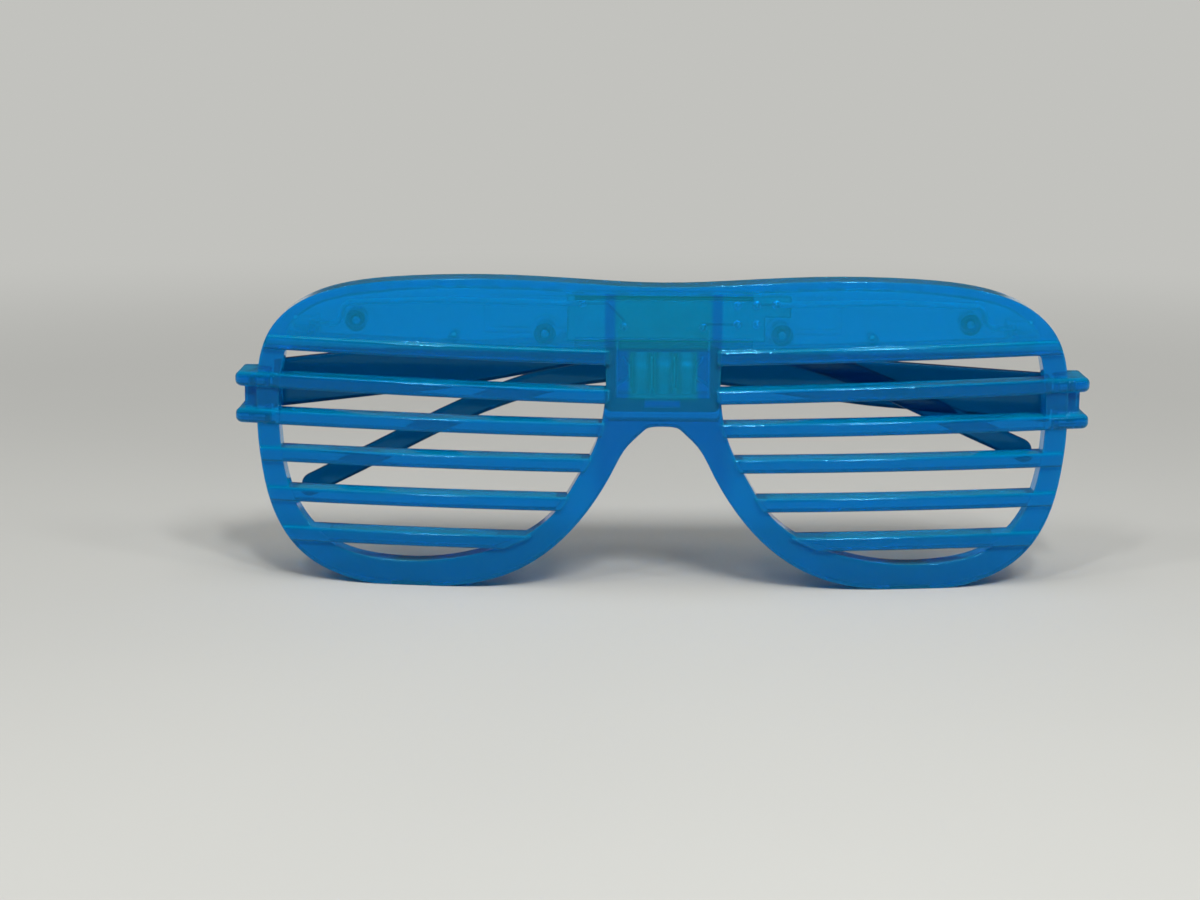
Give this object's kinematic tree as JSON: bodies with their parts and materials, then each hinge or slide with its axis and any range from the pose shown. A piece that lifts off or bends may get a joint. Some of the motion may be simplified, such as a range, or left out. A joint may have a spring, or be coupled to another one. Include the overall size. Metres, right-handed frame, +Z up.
{
  "type": "slatted novelty glasses",
  "caption": "Slatted novelty glasses in clear blue plastic, with a hollow brow that holds lamps and a board, cells over the nose, a push button behind and folding temples.",
  "frame": {"origin": "centre of the folded object's footprint, at the feet of the rims", "axes": "+X across the face from one hinge to the other, +Y from the front towards the folded temples, +Z up to the brow"},
  "size_m": [0.152, 0.023, 0.0551],
  "materials": {
    "tinted_plastic": "clear blue, polished",
    "dark_plastic": "fine matt",
    "screw_steel": "zinc plated",
    "cell_steel": "bright nickel plated",
    "contact_metal": "plated spring strip",
    "board": "green lacquered laminate",
    "dark_resin": "cast black resin",
    "switch_plastic": "moulded black",
    "lamp_resin": "water clear resin",
    "wire_sleeve": "soft sleeve"
  },
  "bodies": {
    "front": {"front_frame": "tinted_plastic", "rear_cover": "tinted_plastic", "cover_screws": "screw_steel", "battery_door": "tinted_plastic", "battery_door_screw": "screw_steel", "button_cell_1": "cell_steel", "button_cell_2": "cell_steel", "button_cell_3": "cell_steel", "cell_link_tabs": "contact_metal", "contact_positive": "contact_metal", "contact_negative": "contact_metal", "circuit_board": "board", "chip_blob": "dark_resin", "resistors": "dark_resin", "switch_body": "switch_plastic", "led_left": "lamp_resin", "led_right": "lamp_resin", "led_wires_left": "wire_sleeve", "led_wires_right": "wire_sleeve"},
    "left_temple": {"temple_left": "tinted_plastic"},
    "right_temple": {"temple_right": "tinted_plastic"},
    "button": {"push_button": "dark_plastic"}
  },
  "joints": [
    {"name": "left_hinge", "type": "hinge", "parent": "front", "child": "left_temple", "pos_m": [-0.0728, 0.00339, 0.03286], "axis": [0, 0, 1], "range_deg": [0, 95]},
    {"name": "right_hinge", "type": "hinge", "parent": "front", "child": "right_temple", "pos_m": [0.0728, 0.00339, 0.03286], "axis": [0, 0, -1], "range_deg": [0, 92]},
    {"name": "button_press", "type": "slide", "parent": "front", "child": "button", "axis": [0, -1, 0], "range_m": [0, 0.0003], "stiffness_N_per_m": 800}
  ]
}
